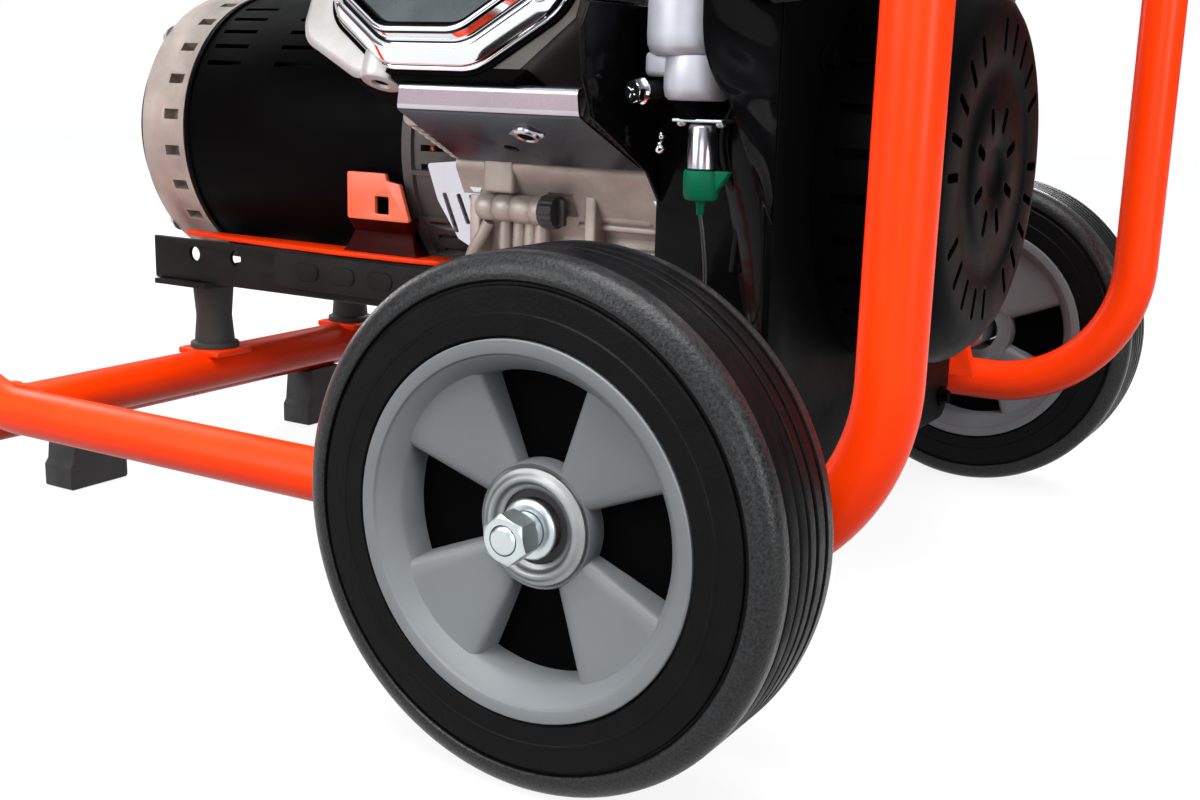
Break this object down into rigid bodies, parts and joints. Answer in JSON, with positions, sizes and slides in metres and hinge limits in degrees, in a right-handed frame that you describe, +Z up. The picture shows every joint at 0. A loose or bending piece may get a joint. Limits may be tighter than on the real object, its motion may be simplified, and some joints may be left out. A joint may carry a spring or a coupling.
{
  "type": "portable generator",
  "caption": "Open-frame portable generator with tube frame, two solid wheels, fold-down handles, engine and alternator.",
  "frame": {"origin": "on the ground, at the middle of the outer box", "axes": "+Z up, +X from the starter end to the alternator end along the crank, +Y towards the rocker cover side"},
  "size_m": [0.6652, 0.6872, 0.598],
  "materials": {
    "orange_paint": "gloss orange-red powder coat",
    "black_paint": "gloss black",
    "black_plastic": "textured black",
    "rubber": "matte black",
    "tyre": "solid black rubber with fine grain",
    "grey_plastic": "moulded mid grey",
    "zinc": "bright zinc plate",
    "bright_steel": "pressed bright plated steel",
    "cast_aluminium": "as cast",
    "carburettor_metal": "die-cast, satin",
    "steel": "machined",
    "dark_steel": "dark grey paint",
    "green_plastic": "satin green",
    "red_plastic": "gloss red"
  },
  "bodies": {
    "frame": {"rear_hoop": "orange_paint", "front_hoop": "orange_paint", "wheel_end_cross_member": "orange_paint", "alternator_end_cross_member": "orange_paint", "tank_bar_wheel_end": "orange_paint", "tank_bar_alternator_end": "orange_paint", "stand_bar": "orange_paint", "alternator_bracket": "orange_paint", "rear_foot": "rubber", "front_foot": "rubber", "isolator_alternator_rear": "rubber", "isolator_alternator_front": "rubber", "isolator_engine_rear": "rubber", "isolator_engine_front": "rubber", "spark_plug_cap": "rubber", "rear_axle_sleeve": "zinc", "front_axle_sleeve": "zinc", "rear_axle_nut": "zinc", "front_axle_nut": "zinc", "axle": "zinc", "fuel_cut_solenoid": "zinc", "lower_shroud_plate": "zinc", "blower_housing": "black_paint", "recoil_cover": "black_paint", "alternator_cover": "black_paint", "alternator_end_cover": "black_paint", "cradle": "dark_steel", "muffler": "dark_steel", "crankcase": "cast_aluminium", "cylinder_barrel": "cast_aluminium", "cylinder_head": "cast_aluminium", "drive_bell": "cast_aluminium", "end_bell": "cast_aluminium", "carburettor": "carburettor_metal", "rocker_cover": "bright_steel", "alternator_stator": "steel", "air_cleaner": "black_plastic", "fuel_tank": "black_plastic", "control_box": "black_plastic", "solenoid_cap": "green_plastic"},
    "rear_wheel": {"rear_wheel_hub": "grey_plastic", "rear_tyre": "tyre", "rear_wheel_bearing": "zinc"},
    "front_wheel": {"front_wheel_hub": "grey_plastic", "front_tyre": "tyre", "front_wheel_bearing": "zinc"},
    "crank": {"crankshaft": "steel", "flywheel": "cast_aluminium", "alternator_rotor": "steel"},
    "rear_handle": {"rear_handle": "black_paint", "rear_handle_grip": "rubber"},
    "front_handle": {"front_handle": "black_paint", "front_handle_grip": "rubber"},
    "recoil_grip": {"recoil_grip": "black_plastic"},
    "fuel_cap": {"fuel_cap": "black_plastic"},
    "oil_filler_cap": {"oil_filler_cap": "black_plastic"},
    "choke_lever": {"choke_lever": "black_plastic"},
    "fuel_valve_lever": {"fuel_valve_lever": "red_plastic"},
    "breaker_lever": {"breaker_lever": "black_plastic"},
    "engine_switch": {"engine_switch": "red_plastic"}
  },
  "joints": [
    {"name": "rear_wheel_spin", "type": "hinge", "parent": "frame", "child": "rear_wheel", "pos_m": [-0.199, 0.3018, 0.1144], "axis": [0, 1, 0], "continuous": true},
    {"name": "front_wheel_spin", "type": "hinge", "parent": "frame", "child": "front_wheel", "pos_m": [-0.199, -0.3018, 0.1144], "axis": [0, 1, 0], "continuous": true},
    {"name": "crank_spin", "type": "hinge", "parent": "frame", "child": "crank", "pos_m": [0, 0, 0.25], "axis": [1, 0, 0], "continuous": true},
    {"name": "rear_handle_fold", "type": "hinge", "parent": "frame", "child": "rear_handle", "pos_m": [0.316, 0.271, 0.452], "axis": [0, -1, 0], "range_deg": [0, 90]},
    {"name": "front_handle_fold", "type": "hinge", "parent": "frame", "child": "front_handle", "pos_m": [0.316, -0.271, 0.452], "axis": [0, -1, 0], "range_deg": [0, 90]},
    {"name": "starter_pull", "type": "slide", "parent": "frame", "child": "recoil_grip", "axis": [0, 0, 1], "range_m": [0, 0.14], "stiffness_N_per_m": 40, "springref_m": -0.05},
    {"name": "fuel_cap_turn", "type": "hinge", "parent": "frame", "child": "fuel_cap", "pos_m": [-0.07, 0, 0.585], "axis": [0, 0, 1], "range_deg": [0, 90]},
    {"name": "oil_cap_turn", "type": "hinge", "parent": "frame", "child": "oil_filler_cap", "pos_m": [-0.065, 0.105, 0.2196], "axis": [-1, 0, 0], "range_deg": [0, 360]},
    {"name": "choke_turn", "type": "hinge", "parent": "frame", "child": "choke_lever", "pos_m": [-0.207, 0.18675, 0.338], "axis": [0, -1, 0], "range_deg": [0, 60]},
    {"name": "fuel_valve_turn", "type": "hinge", "parent": "frame", "child": "fuel_valve_lever", "pos_m": [0.15, 0.205, 0.43], "axis": [0, -1, 0], "range_deg": [0, 90]},
    {"name": "breaker_switch", "type": "hinge", "parent": "frame", "child": "breaker_lever", "pos_m": [-0.01, -0.231, 0.379], "axis": [1, 0, 0], "range_deg": [0, 40]},
    {"name": "engine_switch_turn", "type": "hinge", "parent": "frame", "child": "engine_switch", "pos_m": [0.04, -0.233, 0.378], "axis": [0, -1, 0], "range_deg": [0, 60]}
  ]
}
